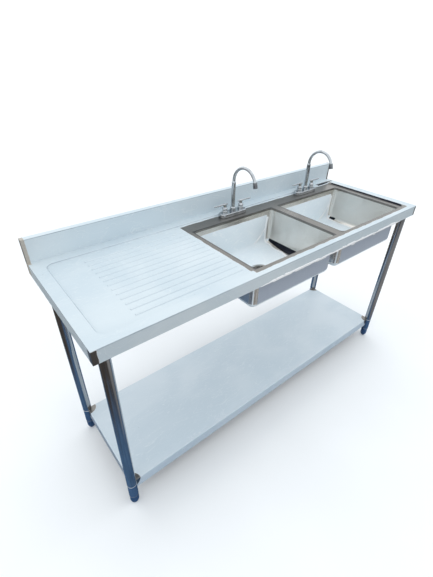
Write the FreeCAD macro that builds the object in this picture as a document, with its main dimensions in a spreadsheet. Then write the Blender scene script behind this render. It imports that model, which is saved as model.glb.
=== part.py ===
import FreeCAD, Part
import math
import os
import re

import Sketcher

# Catering sink table: one pressed stainless worktop with a ribbed drainboard on the left and
# two bowls on the right, a boxed upstand at the rear, two centreset gooseneck taps, basket
# strainers, four tube legs on levelling bullet feet and an undershelf.
# Frame: +X along the length, +Y to the rear, +Z up, origin on the floor under the middle.

doc = FreeCAD.newDocument("sink_table")

# ---------------------------------------------------------------- driving dimensions (mm, deg)
SIZES = (
    # overall
    ("overall_length", 1800), ("overall_depth", 600), ("deck_height", 910),
    ("sheet_steel", 1.2), ("fold_radius", 2.4),
    # worktop edges, upstand and pressed-down field
    ("apron_drop", 52), ("hem_width", 14), ("splash_rise", 95), ("splash_depth", 24),
    ("rim_front", 42), ("rim_side", 45), ("rim_rear", 46),
    ("recess_drop", 7), ("recess_radius", 28), ("recess_slope", 5),
    # drainboard ribs
    ("rib_height", 2.4), ("rib_half_width", 5), ("rib_length", 440), ("rib_pitch", 33),
    ("rib_start", -725), ("rib_front", -222), ("rib_count", 13),
    # bowls
    ("bowl_length", 500), ("bowl_width", 400), ("bowl_corner", 22), ("bowl_cove", 26),
    ("bowl_drop", 194), ("bowl_middle", -50), ("left_bowl", 8), ("right_bowl", 559),
    ("lip_drop", 10), ("lip_gap", 0.2), ("bowl_flange", 10),
    # hat channels welded under the sheets
    ("hat_half", 22), ("hat_flange", 10), ("hat_rise", 25), ("hat_steel", 1.5),
    ("channel_gap", 4), ("channel_inset", 20),
    # legs, shelf corners and feet
    ("leg_side", 42.5), ("front_leg", -265), ("rear_leg", 186),
    ("leg_radius", 19.05), ("slide_fit", 0.05), ("plug_plate", 64), ("plug_steel", 3),
    ("plug_length", 62), ("plug_wall", 2), ("screw_radius", 3), ("screw_length", 9),
    ("screw_height", 842), ("screw_stand", 1.2),
    ("corner_bottom", 60), ("corner_top", 133), ("bead_height", 2.4), ("bead_stand", 0.6),
    ("neck_length", 30), ("neck_wall", 1.4), ("shelf_top", 136), ("shelf_drop", 50),
    ("insert_flange", 3), ("insert_length", 40), ("thread_radius", 8),
    ("foot_radius", 18.4), ("foot_pad", 8), ("foot_round", 26), ("foot_stem", 42),
    ("foot_edge", 1.2),
    # taps
    ("tap_offset", 25), ("tap_depth", 200), ("tap_centres", 50.8), ("tap_length", 160),
    ("tap_width", 46), ("tap_corner", 19), ("gasket_height", 2), ("gasket_inset", 0.5),
    ("gasket_clearance", 0.4), ("hole_clearance", 1.2), ("base_top", 20), ("base_round", 3),
    ("hub_top", 27), ("hub_radius", 15), ("shank_radius", 10.3), ("shank_drop", 48),
    ("shank_free", 38.8), ("shank_groove", 9.7), ("groove_width", 1),
    ("valve_bore", 6), ("cross_bore", 4), ("cross_height", 12), ("riser_radius", 9.5),
    ("riser_wall", 2), ("tail_radius", 8), ("tail_seat", 7), ("tail_lift", 1), ("riser_top", 160),
    ("nut_top", 41), ("nut_radius", 14), ("nut_round", 5), ("nut_mouth", 10.9),
    ("neck_radius", 70.5), ("neck_tube", 7), ("neck_bore", 5.5), ("neck_sweep", 166),
    ("aerator_radius", 9.8), ("aerator_wall", 1.6), ("aerator_length", 26), ("aerator_grip", 8),
    ("grip_gap", 0.5), ("aerator_slot", 3), ("bonnet_top", 54), ("bonnet_skirt", 13.4),
    ("bonnet_waist", 11.4), ("bonnet_bulge", 12.9), ("bonnet_neck", 8), ("stem_foot", 18),
    ("stem_neck", 4), ("stem_grip", 0.04), ("lever_bottom", 56), ("lever_top", 67),
    ("lever_hub", 8.5), ("lever_dome", 2.5), ("lever_roof", 3), ("dome_flat", 0.8),
    ("blade_reach", 62), ("blade_tail", 15), ("blade_tip", 3.3), ("blade_thick", 5),
    ("blade_down", 2.4), ("blade_round", 1.4), ("lock_radius", 17), ("lock_height", 7),
    # waste fittings
    ("drain_hole", 45), ("drain_flange", 56), ("drain_steel", 2), ("cup_radius", 44.4),
    ("cup_depth", 38), ("cup_wall", 1.5), ("cup_round", 6), ("spud_radius", 19.5),
    ("spud_drop", 68), ("outlet_radius", 16.5), ("seal_height", 4), ("seal_radius", 58),
    ("ring_height", 12), ("ring_radius", 57), ("ring_flange", 3), ("ring_body", 52),
    ("lug_length", 9), ("lug_width", 8), ("basket_radius", 40), ("basket_height", 26),
    ("basket_steel", 1.2), ("basket_round", 3), ("basket_hole", 2.2), ("knob_radius", 9),
    ("knob_post", 3), ("knob_dome", 5), ("tail_tube", 19.05), ("tail_free", 72), ("tail_neck", 18.4),
    ("tail_length", 78), ("tail_flange", 21.5), ("flange_height", 2), ("coupling_radius", 26),
    ("coupling_height", 23.5), ("coupling_edge", 1.5), ("coupling_lip", 4),
)
ALIASES = {alias for alias, value in SIZES}

sheet = doc.addObject("Spreadsheet::Sheet", "dims")
for row, (alias, value) in enumerate(SIZES, 1):
    sheet.set(f"A{row}", alias)
    sheet.set(f"B{row}", str(value))
    sheet.setAlias(f"B{row}", alias)
doc.recompute()

nodes = {}


# ---------------------------------------------------------------- helpers
def in_sheet(text):
    """Turn 'deck_height - 2' into an expression that reads the sheet."""
    def swap(found):
        word = found.group()
        return f"dims.{word}" if word in ALIASES else word
    return re.sub(r"[a-z_]+", swap, str(text))


def number(text):
    """The present value of an expression."""
    return float(sheet.evalExpression(in_sheet(text)))


def bind(thing, path, text):
    thing.setExpression(path, in_sheet(text))


def place(thing, x, y, z, turn=None):
    """Put an object at x, y, z, turned first where turn is (axis, degrees)."""
    if turn:
        axis, angle = turn
        thing.Placement = FreeCAD.Placement(FreeCAD.Vector(), FreeCAD.Rotation(FreeCAD.Vector(*axis), angle))
    for axis_name, text in zip("xyz", (x, y, z)):
        bind(thing, f"Placement.Base.{axis_name}", text)
    return thing


def keep(label, thing):
    """Name an object as a sub-part of its own."""
    thing.Label = label
    nodes[label] = thing
    return thing


def block(name, sizes, corner):
    """A plain box with its lowest corner at the given place."""
    box = doc.addObject("Part::Box", name)
    for path, text in zip(("Length", "Width", "Height"), sizes):
        bind(box, path, text)
    return place(box, *corner)


def rod(name, radius, height, foot, turn=None):
    """A cylinder standing on the given place."""
    cylinder = doc.addObject("Part::Cylinder", name)
    bind(cylinder, "Radius", radius)
    bind(cylinder, "Height", height)
    return place(cylinder, *foot, turn=turn)


def cut(name, base, tool):
    result = doc.addObject("Part::Cut", name)
    result.Base = base
    result.Tool = tool
    return result


def fuse(name, shapes):
    result = doc.addObject("Part::MultiFuse", name)
    result.Shapes = shapes
    result.Refine = True
    return result


def group(name, shapes):
    """Several separate solids kept as one sub-part."""
    result = doc.addObject("Part::Compound", name)
    result.Links = shapes
    return result


def pin_point(sketch, geometry, end, across, up):
    """Hold one end of a sketch element at its place from the sketch's origin."""
    for text, kind, axis in ((across, "DistanceX", -2), (up, "DistanceY", -1)):
        value = number(text)
        if abs(value) < 1e-9:
            sketch.addConstraint(Sketcher.Constraint("PointOnObject", geometry, end, axis))
            continue
        held = sketch.addConstraint(Sketcher.Constraint(kind, -1, 1, geometry, end, value))
        bind(sketch, f"Constraints[{held}]", text)


def draw(sketch, steps):
    """Close an outline through steps of (across, up), or (across, up, via, via) for an arc."""
    places = [FreeCAD.Vector(number(step[0]), number(step[1]), 0) for step in steps]
    ends = []
    for index, step in enumerate(steps):
        start = places[index - 1]
        finish = places[index]
        if len(step) == 2:
            element = sketch.addGeometry(Part.LineSegment(start, finish), False)
            ends.append((element, 1, 2))
            continue
        via = FreeCAD.Vector(number(step[2]), number(step[3]), 0)
        leftward = (via - start).cross(finish - via).z > 0
        arc = Part.Arc(start, via, finish) if leftward else Part.Arc(finish, via, start)
        element = sketch.addGeometry(arc, False)
        ends.append((element, 1, 2) if leftward else (element, 2, 1))
        marker = sketch.addGeometry(Part.Point(via), True)
        pin_point(sketch, marker, 1, step[2], step[3])
        sketch.addConstraint(Sketcher.Constraint("PointOnObject", marker, 1, element))
    for index, (element, head, tail) in enumerate(ends):
        following, its_head, its_tail = ends[(index + 1) % len(ends)]
        sketch.addConstraint(Sketcher.Constraint("Coincident", element, tail, following, its_head))
        pin_point(sketch, element, tail, *steps[index][:2])


def sketch_on(body, role):
    """A sketch on one of its body's own origin planes."""
    sketch = body.newObject("Sketcher::SketchObject", body.Name + "_sketch")
    plane = next(item for item in body.Origin.OriginFeatures if item.Role == role)
    sketch.AttachmentSupport = [(plane, "")]
    sketch.MapMode = "FlatFace"
    return sketch


def padded(name, role, steps, run):
    """A body drawn on an origin plane and padded along its normal."""
    body = doc.addObject("PartDesign::Body", name)
    sketch = sketch_on(body, role)
    draw(sketch, steps)
    pad = body.newObject("PartDesign::Pad", name + "_pad")
    pad.Profile = sketch
    bind(pad, "Length", run)
    return body


def turned(name, steps):
    """A body of revolution about Z from an outline of (radius, height) steps."""
    body = doc.addObject("PartDesign::Body", name)
    sketch = sketch_on(body, "XZ_Plane")
    draw(sketch, steps)
    revolution = body.newObject("PartDesign::Revolution", name + "_turn")
    revolution.Profile = sketch
    revolution.ReferenceAxis = (sketch, ["V_Axis"])
    revolution.Angle = 360
    return body


def round_edges(body, radius, wanted):
    """Fillet the edges of a body's tip that the test picks out."""
    doc.recompute()
    tip = body.Tip
    names = [f"Edge{index}" for index, edge in enumerate(tip.Shape.Edges, 1) if wanted(edge)]
    fillet = body.newObject("PartDesign::Fillet", body.Name + "_round")
    fillet.Base = (tip, names)
    bind(fillet, "Radius", radius)
    return fillet


def at_height(height):
    """A test for edges that lie level at a height in the body's own frame."""
    def wanted(edge):
        box = edge.BoundBox
        return abs(box.ZMin - height) < 1e-4 and abs(box.ZMax - height) < 1e-4
    return wanted


def rounded_steps(length, width, radius):
    """The outline of a rectangle with round corners, centred on the origin."""
    x = f"(({length})/2)"
    y = f"(({width})/2)"
    inner_x = f"({x} - ({radius}))"
    inner_y = f"({y} - ({radius}))"
    lean = math.cos(math.pi / 4)
    via_x = f"({inner_x} + ({radius})*{lean:.8f})"
    via_y = f"({inner_y} + ({radius})*{lean:.8f})"
    return (
        (inner_x, f"-{y}"), (x, f"-{inner_y}", via_x, f"-{via_y}"),
        (x, inner_y), (inner_x, y, via_x, via_y),
        (f"-{inner_x}", y), (f"-{x}", inner_y, f"-{via_x}", via_y),
        (f"-{x}", f"-{inner_y}"), (f"-{inner_x}", f"-{y}", f"-{via_x}", f"-{via_y}"),
    )


def rounded_block(name, length, width, radius, height, middle):
    """A block with round upright corners, its lower face centred on the given place."""
    body = padded(name, "XY_Plane", rounded_steps(length, width, radius), height)
    return place(body, *middle)


def tangent_arc(wide, narrow, rise):
    """How far inward and along the middle of an arc lies that leaves a wide wall tangentially."""
    inset = f"(({wide}) - ({narrow}))"
    radius = f"(({inset}^2 + ({rise})^2)/(2*{inset}))"
    half_turn = math.asin(number(rise) / number(radius)) / 2
    return f"({radius}*{1 - math.cos(half_turn):.8f})", f"({radius}*{math.sin(half_turn):.8f})"


def dome(radius, rise, top):
    """Arc steps for part of a sphere centred on the axis, with a small flat where it is highest."""
    above = f"((({radius})^2 + ({rise})^2 - dome_flat^2)/(2*({rise})))"
    ball = f"sqrt(dome_flat^2 + {above}^2)"
    low = math.atan2(number(above) - number(rise), number(radius))
    high = math.atan2(number(above), number("dome_flat"))
    middle = (low + high) / 2
    across = f"{ball}*{math.cos(middle):.8f}"
    up = f"{top} - {above} + {ball}*{math.sin(middle):.8f}"
    return ("dome_flat", top, across, up), ("0", top)


# ---------------------------------------------------------------- shared levels
FIELD = "(deck_height - recess_drop)"
FIELD_UNDER = f"({FIELD} - sheet_steel)"
APRON_FOOT = "(deck_height - apron_drop)"
SPLASH_TOP = "(deck_height + splash_rise)"
FIELD_LENGTH = "(overall_length - 2*rim_side)"
FIELD_WIDTH = "(overall_depth - splash_depth - rim_front - rim_rear)"
FIELD_MIDDLE = "((rim_front - rim_rear - splash_depth)/2)"
HAT_FOOT = f"({FIELD_UNDER} - hat_rise)"
LEG_TOP = f"({HAT_FOOT} - plug_steel)"
LEG_X = "(overall_length/2 - leg_side)"
LEG_BORE = "(leg_radius - sheet_steel)"
BOWL_FLOOR = f"({FIELD} - bowl_drop)"
BOWLS = (("left", "left_bowl"), ("right", "right_bowl"))
CORNERS = (
    ("front_left", f"-{LEG_X}", "front_leg", 1), ("front_right", LEG_X, "front_leg", -1),
    ("rear_left", f"-{LEG_X}", "rear_leg", 1), ("rear_right", LEG_X, "rear_leg", -1),
)


# ---------------------------------------------------------------- worktop
def sloped_field(name, grow, top_gain):
    """The pressed-down field as a loft between its floor outline and its wider mouth."""
    sections = []
    for tag, slope, level in (("floor", "0", FIELD), ("mouth", "recess_slope", "deck_height")):
        outline = doc.addObject("Sketcher::SketchObject", f"{name}_{tag}")
        spread = f"2*({slope}) + 2*({grow})"
        draw(outline, rounded_steps(f"{FIELD_LENGTH} - 2*recess_slope + {spread}",
                                    f"{FIELD_WIDTH} - 2*recess_slope + {spread}",
                                    f"recess_radius + ({slope}) + ({grow})"))
        place(outline, "0", FIELD_MIDDLE, f"{level} + ({top_gain})")
        sections.append(outline)
    loft = doc.addObject("Part::Loft", name)
    loft.Sections = sections
    loft.Solid = True
    loft.Ruled = True
    return loft


def worktop_outside():
    """The worktop's outer envelope: deck, aprons and upstand, with folded edges rounded."""
    depth = "(overall_depth/2)"
    steps = (
        (f"-{depth}", APRON_FOOT), (f"-{depth}", "deck_height"),
        (f"{depth} - splash_depth", "deck_height"), (f"{depth} - splash_depth", SPLASH_TOP),
        (depth, SPLASH_TOP), (depth, APRON_FOOT),
    )
    body = padded("envelope", "YZ_Plane", steps, "overall_length")
    length = number("overall_length")
    front = -number("overall_depth") / 2
    deck = number("deck_height")
    top = number(SPLASH_TOP)

    def folded(edge):
        box = edge.BoundBox
        along_front = abs(box.YMax - front) < 1e-4 and abs(box.ZMin - deck) < 1e-4
        along_top = abs(box.ZMin - top) < 1e-4 and box.XLength > length / 2
        return along_front or along_top

    round_edges(body, "fold_radius", folded)
    return place(body, "-overall_length/2", "0", "0")


def worktop_inside():
    """Everything that is hollow below the sheet: the apron space, its hemmed mouth and the upstand."""
    steel = "sheet_steel"
    space = block("apron_space", ("overall_length - 2*sheet_steel", "overall_depth - 2*sheet_steel",
                                  "apron_drop - 2*sheet_steel"),
                  (f"-overall_length/2 + {steel}", f"-overall_depth/2 + {steel}",
                   f"{APRON_FOOT} + {steel}"))
    edge = "(hem_width)"
    mouth = block("hem_mouth", (f"overall_length - 2*{edge}", f"overall_depth - 2*{edge}", f"2*{steel}"),
                  (f"-overall_length/2 + {edge}", f"-overall_depth/2 + {edge}", APRON_FOOT))
    field = sloped_field("field_underside", steel, f"-{steel}")
    below = cut("space_under_field", fuse("apron_hollow", [space, mouth]), field)
    front = "overall_depth/2 - splash_depth + sheet_steel"
    thickness = "splash_depth - 2*sheet_steel"
    riser = block("upstand_space", ("overall_length - 2*sheet_steel", thickness,
                                    f"{SPLASH_TOP} - sheet_steel - ({APRON_FOOT} + sheet_steel)"),
                  (f"-overall_length/2 + {steel}", front, f"{APRON_FOOT} + {steel}"))
    ends = block("upstand_ends", ("overall_length", thickness, "splash_rise - sheet_steel"),
                 ("-overall_length/2", front, "deck_height"))
    return fuse("worktop_hollow", [below, riser, ends])


def drainboard_ribs():
    """Raised beads along the drainboard, one drawn and the rest patterned to the rear."""
    base = f"({FIELD} - sheet_steel/2)"
    steps = (
        ("rib_half_width", base),
        ("-rib_half_width", base, "0", f"{FIELD} + rib_height"),
    )
    body = padded("ribs", "YZ_Plane", steps, "rib_length")
    doc.recompute()
    plane = next(item for item in body.Origin.OriginFeatures if item.Role == "Y_Axis")
    row = body.newObject("PartDesign::LinearPattern", "rib_row")
    row.Originals = [body.Tip]
    row.Direction = (plane, [""])
    bind(row, "Length", "rib_pitch*(rib_count - 1)")
    bind(row, "Occurrences", "rib_count")
    body.Tip = row
    return place(body, "rib_start", "rib_front", "0")


def build_worktop():
    """Fold the sheet, press the field, add bowl lips and ribs, and open bowls and tap holes."""
    pressed = cut("pressed_top", worktop_outside(), sloped_field("field_top", "0", "0"))
    folded = cut("folded_top", pressed, worktop_inside())
    lips = []
    openings = []
    for side, centre in BOWLS:
        middle = (centre, "bowl_middle", f"{FIELD} - lip_drop")
        lips.append(rounded_block(f"lip_{side}", "bowl_length + 2*sheet_steel",
                                  "bowl_width + 2*sheet_steel", "bowl_corner + sheet_steel",
                                  "lip_drop - sheet_steel/2", middle))
        openings.append(rounded_block(f"opening_{side}", "bowl_length", "bowl_width", "bowl_corner",
                                      "2*lip_drop", middle))
        for sign in ("-", "+"):
            openings.append(rod(f"tap_hole_{side}", "shank_radius + hole_clearance", "2*lip_drop",
                                (f"{centre} + tap_offset {sign} tap_centres", "tap_depth",
                                 f"{FIELD} - lip_drop")))
    whole = fuse("worktop_whole", [folded, drainboard_ribs()] + lips)
    keep("worktop", cut("worktop_cut", whole, fuse("worktop_openings", openings)))


def build_end_caps():
    """Plates welded into the two open ends of the upstand."""
    sizes = ("sheet_steel", "splash_depth - 2*sheet_steel", "splash_rise - sheet_steel")
    front = "overall_depth/2 - splash_depth + sheet_steel"
    for side, x in (("left", "-overall_length/2"), ("right", "overall_length/2 - sheet_steel")):
        keep(f"splash_cap_{side}", block(f"splash_cap_{side}_plate", sizes, (x, front, "deck_height")))


def build_bowls():
    """Two coved bowls, each hung by a flange under the deck and pierced for its waste."""
    inside = "(sheet_steel + lip_gap)"
    for side, centre in BOWLS:
        depth = f"({FIELD_UNDER} - {BOWL_FLOOR})"
        outer = rounded_block(f"bowl_{side}_outer", f"bowl_length + 2*{inside} + 2*sheet_steel",
                              f"bowl_width + 2*{inside} + 2*sheet_steel",
                              f"bowl_corner + {inside} + sheet_steel", f"{depth} + sheet_steel",
                              (centre, "bowl_middle", f"{BOWL_FLOOR} - sheet_steel"))
        round_edges(outer, "bowl_cove + sheet_steel", at_height(0))
        inner = rounded_block(f"bowl_{side}_inner", f"bowl_length + 2*{inside}",
                              f"bowl_width + 2*{inside}", f"bowl_corner + {inside}",
                              f"{depth} + sheet_steel", (centre, "bowl_middle", BOWL_FLOOR))
        round_edges(inner, "bowl_cove", at_height(0))
        flange = rounded_block(f"bowl_{side}_flange", f"bowl_length + 2*{inside} + 2*bowl_flange",
                               f"bowl_width + 2*{inside} + 2*bowl_flange",
                               f"bowl_corner + {inside} + bowl_flange", "sheet_steel",
                               (centre, "bowl_middle", f"{FIELD_UNDER} - sheet_steel"))
        waste = rod(f"bowl_{side}_waste", "drain_hole", "4*sheet_steel",
                    (centre, "bowl_middle", f"{BOWL_FLOOR} - 2*sheet_steel"))
        shell = fuse(f"bowl_{side}_solid", [outer, flange])
        hollow = fuse(f"bowl_{side}_hollow", [inner, waste])
        keep(f"bowl_{side}", cut(f"bowl_{side}_cut", shell, hollow))


def hat_channel(label, run, x, y, z, turn=None):
    """A top-hat channel, flanges up, drawn across Y and padded along X."""
    web = "hat_half"
    edge = "(hat_half + hat_flange)"
    under = "(hat_rise - hat_steel)"
    inner = "(hat_half - hat_steel)"
    steps = (
        (f"-{edge}", "hat_rise"), (f"-{edge}", under), (f"-{web}", under), (f"-{web}", "0"),
        (web, "0"), (web, under), (edge, under), (edge, "hat_rise"),
        (inner, "hat_rise"), (inner, "hat_steel"), (f"-{inner}", "hat_steel"), (f"-{inner}", "hat_rise"),
    )
    body = padded(label + "_body", "YZ_Plane", steps, run)
    keep(label, place(body, x, y, z, turn))


def build_channels():
    """Cross channels over the legs, one under the drainboard and one under the shelf."""
    inside_depth = "overall_depth - 2*sheet_steel"
    quarter = ((0, 0, 1), 90)
    for side, x in (("left", f"-{LEG_X}"), ("right", LEG_X)):
        hat_channel(f"cross_channel_{side}", inside_depth, x, "-overall_depth/2 + sheet_steel",
                    HAT_FOOT, quarter)
    start = f"(-{LEG_X} + hat_half + hat_flange)"
    bowl_edge = "(left_bowl - bowl_length/2 - sheet_steel - lip_gap - bowl_flange)"
    hat_channel("drainboard_channel", f"{bowl_edge} - channel_gap - {start}", start, FIELD_MIDDLE, HAT_FOOT)
    length = f"2*({LEG_X} - leg_radius - channel_inset)"
    hat_channel("shelf_channel", length, f"-({length})/2", "(front_leg + rear_leg)/2",
                "shelf_top - sheet_steel - hat_rise")


# ---------------------------------------------------------------- legs, shelf and feet
def build_legs():
    """Plug plates under the channels, tube legs over them and the screws that hold both."""
    screws = []
    plug = f"({LEG_BORE} - slide_fit)"
    for corner, x, y, inward in CORNERS:
        plate = block(f"plate_{corner}", ("plug_plate", "plug_plate", "plug_steel"),
                      (f"{x} - plug_plate/2", f"{y} - plug_plate/2", LEG_TOP))
        spigot = rod(f"spigot_{corner}", plug, "plug_length", (x, y, f"{LEG_TOP} - plug_length"))
        bore = rod(f"spigot_bore_{corner}", f"{plug} - plug_wall", "plug_length",
                   (x, y, f"{LEG_TOP} - plug_length"))
        tapped = rod(f"tapped_{corner}", "screw_radius", "leg_radius + 5",
                     (x, y, "screw_height"), ((0, 1, 0), 90 * inward))
        solid = fuse(f"plug_solid_{corner}", [plate, spigot])
        keep(f"leg_plug_{corner}", cut(f"plug_{corner}", cut(f"plug_tube_{corner}", solid, bore), tapped))

        tube = rod(f"tube_{corner}", "leg_radius", f"{LEG_TOP} - corner_top - bead_height",
                   (x, y, "corner_top + bead_height"))
        hollow = rod(f"tube_bore_{corner}", LEG_BORE, f"{LEG_TOP} - corner_top",
                     (x, y, "corner_top"))
        pierced = rod(f"pierced_{corner}", "screw_radius", "leg_radius + 5",
                      (x, y, "screw_height"), ((0, 1, 0), 90 * inward))
        keep(f"leg_{corner}", cut(f"leg_tube_{corner}", cut(f"leg_wall_{corner}", tube, hollow), pierced))

        head = f"{x} + ({inward})*(leg_radius + screw_stand - screw_length)"
        screws.append(rod(f"screw_{corner}", "screw_radius", "screw_length",
                          (head, y, "screw_height"), ((0, 1, 0), 90 * inward)))
    keep("leg_screws", group("screw_set", screws))


def build_shelf():
    """A shelf sheet with folded and hemmed edges, notched at its corners for the corner tubes."""
    run = f"2*{LEG_X}"
    width = "(rear_leg - front_leg)"
    foot = "(shelf_top - shelf_drop)"
    outside = doc.addObject("PartDesign::Body", "shelf_outside")
    sketch = sketch_on(outside, "XY_Plane")
    half_run = f"({LEG_X})"
    half_width = f"({width}/2)"
    draw(sketch, ((f"-{half_run}", f"-{half_width}"), (half_run, f"-{half_width}"),
                  (half_run, half_width), (f"-{half_run}", half_width)))
    pad = outside.newObject("PartDesign::Pad", "shelf_pad")
    pad.Profile = sketch
    bind(pad, "Length", "shelf_drop")
    round_edges(outside, "fold_radius", at_height(number("shelf_drop")))
    place(outside, "0", "(front_leg + rear_leg)/2", foot)
    steel = "sheet_steel"
    hollow = block("shelf_space", (f"{run} - 2*{steel}", f"{width} - 2*{steel}", f"shelf_drop - 2*{steel}"),
                   (f"-{LEG_X} + {steel}", f"front_leg + {steel}", f"{foot} + {steel}"))
    mouth = block("shelf_mouth", (f"{run} - 2*hem_width", f"{width} - 2*hem_width", f"2*{steel}"),
                  (f"-{LEG_X} + hem_width", "front_leg + hem_width", foot))
    notches = [rod(f"notch_{corner}", "leg_radius + bead_stand", "shelf_drop + 2", (x, y, f"{foot} - 1"))
               for corner, x, y, inward in CORNERS]
    keep("undershelf", cut("shelf_cut", outside, fuse("shelf_hollow", [hollow, mouth] + notches)))


def build_corners_and_feet():
    """At each corner a beaded tube with a neck for the leg, a threaded insert and a bullet foot."""
    bore = f"({LEG_BORE})"
    neck = f"({bore} - slide_fit)"
    inner = f"({neck} - neck_wall)"
    low = "(corner_top - corner_bottom)"
    bead = "(leg_radius + bead_stand)"
    bead_top = f"({low} + bead_height)"
    for corner, x, y, inward in CORNERS:
        tube = turned(f"corner_{corner}", (
            (inner, "0"), ("leg_radius", "0"), ("leg_radius", low),
            ("leg_radius", bead_top, bead, f"{low} + bead_height/2"),
            (neck, bead_top), (neck, f"{bead_top} + neck_length"), (inner, f"{bead_top} + neck_length"),
        ))
        keep(f"shelf_corner_{corner}", place(tube, x, y, "corner_bottom"))

        thread = "(thread_radius + slide_fit)"
        insert = turned(f"insert_{corner}", (
            (thread, "0"), ("leg_radius", "0"), ("leg_radius", "insert_flange"),
            (f"{inner} - slide_fit", "insert_flange"), (f"{inner} - slide_fit", "insert_length"),
            (thread, "insert_length"),
        ))
        keep(f"foot_insert_{corner}", place(insert, x, y, "corner_bottom - insert_flange"))

        shoulder = "(corner_bottom - insert_flange)"
        inward_by, down_by = tangent_arc("foot_radius", "foot_pad", "foot_round")
        foot = turned(f"foot_{corner}", (
            ("0", "0"), ("foot_pad", "0"),
            ("foot_radius", "foot_round", f"foot_radius - {inward_by}", f"foot_round - {down_by}"),
            ("foot_radius", f"{shoulder} - foot_edge"), ("foot_radius - foot_edge", shoulder),
            ("thread_radius", shoulder), ("thread_radius", f"{shoulder} + foot_stem"),
            ("0", f"{shoulder} + foot_stem"),
        ))
        keep(f"bullet_foot_{corner}", place(foot, x, y, "0"))


# ---------------------------------------------------------------- taps
def tap_base(side, x):
    """The cast base with its hubs, threaded shanks, valve bores and the cross bore."""
    foot = f"({FIELD} + gasket_height)"
    plate = rounded_block(f"tap_{side}_plate", "tap_length", "tap_width", "tap_corner",
                          "base_top - gasket_height", (x, "tap_depth", foot))
    round_edges(plate, "base_round", at_height(number("base_top - gasket_height")))
    hub_height = "(hub_top - gasket_height)"
    solids = [plate, rod(f"tap_{side}_boss", "hub_radius", hub_height, (x, "tap_depth", foot))]
    bores = [rod(f"tap_{side}_spout_bore", "tail_radius + slide_fit", "hub_top",
                 (x, "tap_depth", f"{FIELD} + tail_seat")),
             rod(f"tap_{side}_cross", "cross_bore", "2*tap_centres",
                 (f"{x} - tap_centres", "tap_depth", f"{FIELD} + cross_height"), ((0, 1, 0), 90))]
    low = f"({FIELD} - shank_drop)"
    for tag, sign in (("hot", "-"), ("cold", "+")):
        spot = f"{x} {sign} tap_centres"
        solids.append(rod(f"tap_{side}_{tag}_hub", "hub_radius", hub_height, (spot, "tap_depth", foot)))
        shank = rod(f"tap_{side}_{tag}_shank", "shank_radius", "shank_drop + base_top/2",
                    (spot, "tap_depth", low))
        around = rod(f"tap_{side}_{tag}_around", "2*shank_radius", "groove_width",
                     (spot, "tap_depth", f"{low} + shank_free"))
        core = rod(f"tap_{side}_{tag}_core", "shank_groove", "groove_width",
                   (spot, "tap_depth", f"{low} + shank_free"))
        groove = cut(f"tap_{side}_{tag}_groove", around, core)
        solids.append(cut(f"tap_{side}_{tag}_grooved", shank, groove))
        bores.append(rod(f"tap_{side}_{tag}_bore", "valve_bore", "shank_drop + 2*hub_top",
                         (spot, "tap_depth", f"{low} - gasket_height")))
    whole = fuse(f"tap_{side}_casting", solids)
    keep(f"tap_{side}_base", cut(f"tap_{side}_bored", whole, fuse(f"tap_{side}_bores", bores)))


def tap_gasket(side, x):
    """The flat seal between the base and the deck, with a hole for each shank."""
    pad = rounded_block(f"tap_{side}_pad", "tap_length - 2*gasket_inset", "tap_width - 2*gasket_inset",
                        "tap_corner - gasket_inset", "gasket_height", (x, "tap_depth", FIELD))
    holes = [rod(f"tap_{side}_pad_hole", "shank_radius + gasket_clearance", "3*gasket_height",
                 (f"{x} {sign} tap_centres", "tap_depth", f"{FIELD} - gasket_height"))
             for sign in "-+"]
    keep(f"tap_{side}_gasket", cut(f"tap_{side}_seal", pad, fuse(f"tap_{side}_pad_holes", holes)))


def tap_spout(side, x):
    """The riser with its tail and collar, and the gooseneck as part of a torus, both bored."""
    wall = "(riser_radius - riser_wall)"
    tail_bore = "(tail_radius - riser_wall)"
    foot = f"({FIELD} + tail_seat + tail_lift)"
    shoulder = "(hub_top - tail_seat - tail_lift)"
    riser = turned(f"tap_{side}_riser", (
        (tail_bore, "0"), ("tail_radius", "0"), ("tail_radius", shoulder),
        ("riser_radius", shoulder), ("riser_radius", "riser_top - 11"),
        ("riser_radius", "riser_top - 5", "riser_radius + 1", "riser_top - 8"),
        ("neck_tube", "riser_top - 3"), ("neck_tube", "riser_top"), ("neck_bore", "riser_top"),
        ("neck_bore", "riser_top - 14"), (wall, "riser_top - 18"), (wall, "hub_top"),
        (tail_bore, "hub_top - 4"),
    ))
    place(riser, x, "tap_depth", foot)
    cycle = ((1, 1, 1), 120)
    arcs = []
    for tag, radius in (("outer", "neck_tube"), ("inner", "neck_bore")):
        torus = doc.addObject("Part::Torus", f"tap_{side}_neck_{tag}")
        bind(torus, "Radius1", "neck_radius")
        bind(torus, "Radius2", radius)
        bind(torus, "Angle3", "neck_sweep")
        arcs.append(place(torus, x, "tap_depth - neck_radius", f"{foot} + riser_top", cycle))
    neck = cut(f"tap_{side}_neck", arcs[0], arcs[1])
    keep(f"tap_{side}_spout", fuse(f"tap_{side}_spout_tube", [riser, neck]))


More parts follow.
